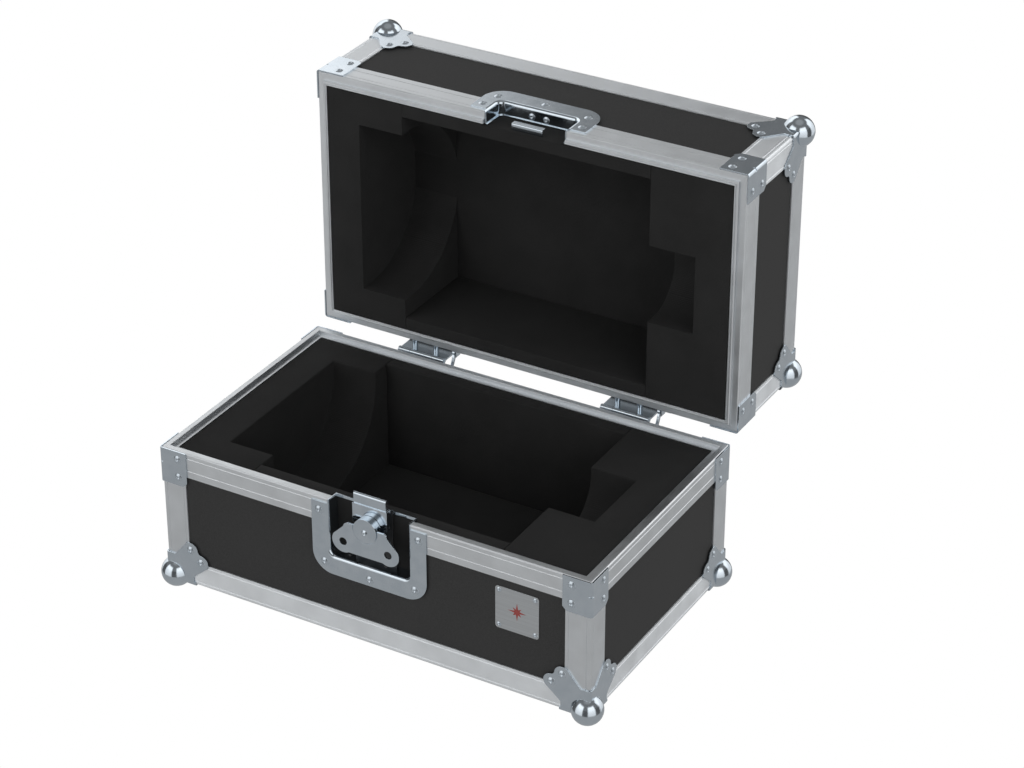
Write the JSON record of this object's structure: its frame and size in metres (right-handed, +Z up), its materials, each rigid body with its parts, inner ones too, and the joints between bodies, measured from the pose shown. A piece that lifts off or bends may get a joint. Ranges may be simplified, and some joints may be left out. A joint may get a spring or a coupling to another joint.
{
  "type": "telescope carry case",
  "caption": "Hinged hard case with foam cradles for a telescope tube, aluminium edges, ball corners, a recessed turn latch and lid stays.",
  "frame": {"origin": "on the floor under the middle of the base, where the ball corners stand", "axes": "+X along the length, hinges parallel to it; -Y towards the front with the latch; +Z up"},
  "size_m": [0.5528, 0.4926, 0.5055],
  "materials": {
    "extrusion_aluminium": "satin anodised extrusion",
    "panel_laminate": "dark grey fine-grained laminate on plywood",
    "foam": "black embossed foam",
    "plated_zinc": "bright zinc plating",
    "plated_steel": "bright zinc plating",
    "dark_steel": "blackened sheet steel",
    "rivet_steel": "bright domed pop rivets",
    "label_aluminium": "satin blank plate"
  },
  "bodies": {
    "base": {"base_back_panel": "panel_laminate", "base_ball_corners": "plated_zinc", "base_corner_braces": "plated_zinc", "base_corner_posts": "extrusion_aluminium", "base_edge_angles": "extrusion_aluminium", "base_floor_panel": "panel_laminate", "base_foam_back": "foam", "base_foam_floor": "foam", "base_foam_front": "foam", "base_foam_left_cradle": "foam", "base_foam_right_cradle": "foam", "base_front_panel": "panel_laminate", "base_latch_dish": "plated_zinc", "base_left_panel": "panel_laminate", "base_right_panel": "panel_laminate", "base_rim_back": "extrusion_aluminium", "base_rim_front_left": "extrusion_aluminium", "base_rim_front_right": "extrusion_aluminium", "base_rim_left": "extrusion_aluminium", "base_rim_right": "extrusion_aluminium", "base_rivets": "rivet_steel", "hinge_base_leaves": "plated_steel", "hinge_pins": "plated_steel", "label_plate": "label_aluminium", "latch_back_plate": "dark_steel", "stay_base_brackets": "plated_steel"},
    "lid": {"hinge_lid_leaves": "plated_steel", "latch_keeper": "plated_zinc", "lid_back_panel": "panel_laminate", "lid_ball_corners": "plated_zinc", "lid_corner_braces": "plated_zinc", "lid_corner_posts": "extrusion_aluminium", "lid_edge_angles": "extrusion_aluminium", "lid_foam_back": "foam", "lid_foam_floor": "foam", "lid_foam_front": "foam", "lid_foam_left_cradle": "foam", "lid_foam_right_cradle": "foam", "lid_front_panel": "panel_laminate", "lid_latch_dish": "plated_zinc", "lid_left_panel": "panel_laminate", "lid_right_panel": "panel_laminate", "lid_rim_back": "extrusion_aluminium", "lid_rim_front_left": "extrusion_aluminium", "lid_rim_front_right": "extrusion_aluminium", "lid_rim_left": "extrusion_aluminium", "lid_rim_right": "extrusion_aluminium", "lid_rivets": "rivet_steel", "lid_top_panel": "panel_laminate", "stay_lid_brackets": "plated_steel"},
    "latch_rotor": {"latch_drum": "plated_zinc", "latch_shaft": "plated_zinc", "latch_wing": "plated_zinc"},
    "yoke": {"latch_yoke": "plated_zinc"},
    "tongue": {"latch_tongue": "plated_zinc"},
    "stay_left": {"stay_arm_left": "plated_steel"},
    "stay_right": {"stay_arm_right": "plated_steel"}
  },
  "joints": [
    {"name": "lid_hinge", "type": "hinge", "parent": "base", "child": "lid", "pos_m": [0, 0.16617, 0.17343], "axis": [1, 0, 0], "range_deg": [0, 90]},
    {"name": "stay_left_pivot", "type": "hinge", "parent": "lid", "child": "stay_left", "pos_m": [-0.0953, 0.17987, 0.17963], "axis": [1, 0, 0], "range_deg": [-60, 0]},
    {"name": "stay_right_pivot", "type": "hinge", "parent": "lid", "child": "stay_right", "pos_m": [0.1677, 0.17987, 0.17963], "axis": [1, 0, 0], "range_deg": [-60, 0]},
    {"name": "latch_turn", "type": "hinge", "parent": "base", "child": "latch_rotor", "pos_m": [0, -0.1545, 0.1571], "axis": [0, 1, 0], "range_deg": [0, 180]},
    {"name": "latch_slide", "type": "slide", "parent": "base", "child": "yoke", "axis": [0, 0, -1], "range_m": [0, 0.005]},
    {"name": "tongue_tilt", "type": "hinge", "parent": "yoke", "child": "tongue", "pos_m": [0, -0.1485, 0.1634], "axis": [-1, 0, 0], "range_deg": [0, 7.5]}
  ],
  "couplings": [
    {"joint": "stay_left_pivot", "follows": "lid_hinge", "ratio": -0.65},
    {"joint": "stay_right_pivot", "follows": "lid_hinge", "ratio": -0.65},
    {"joint": "latch_slide", "follows": "latch_turn", "m_per_rad": 0.00159}
  ]
}
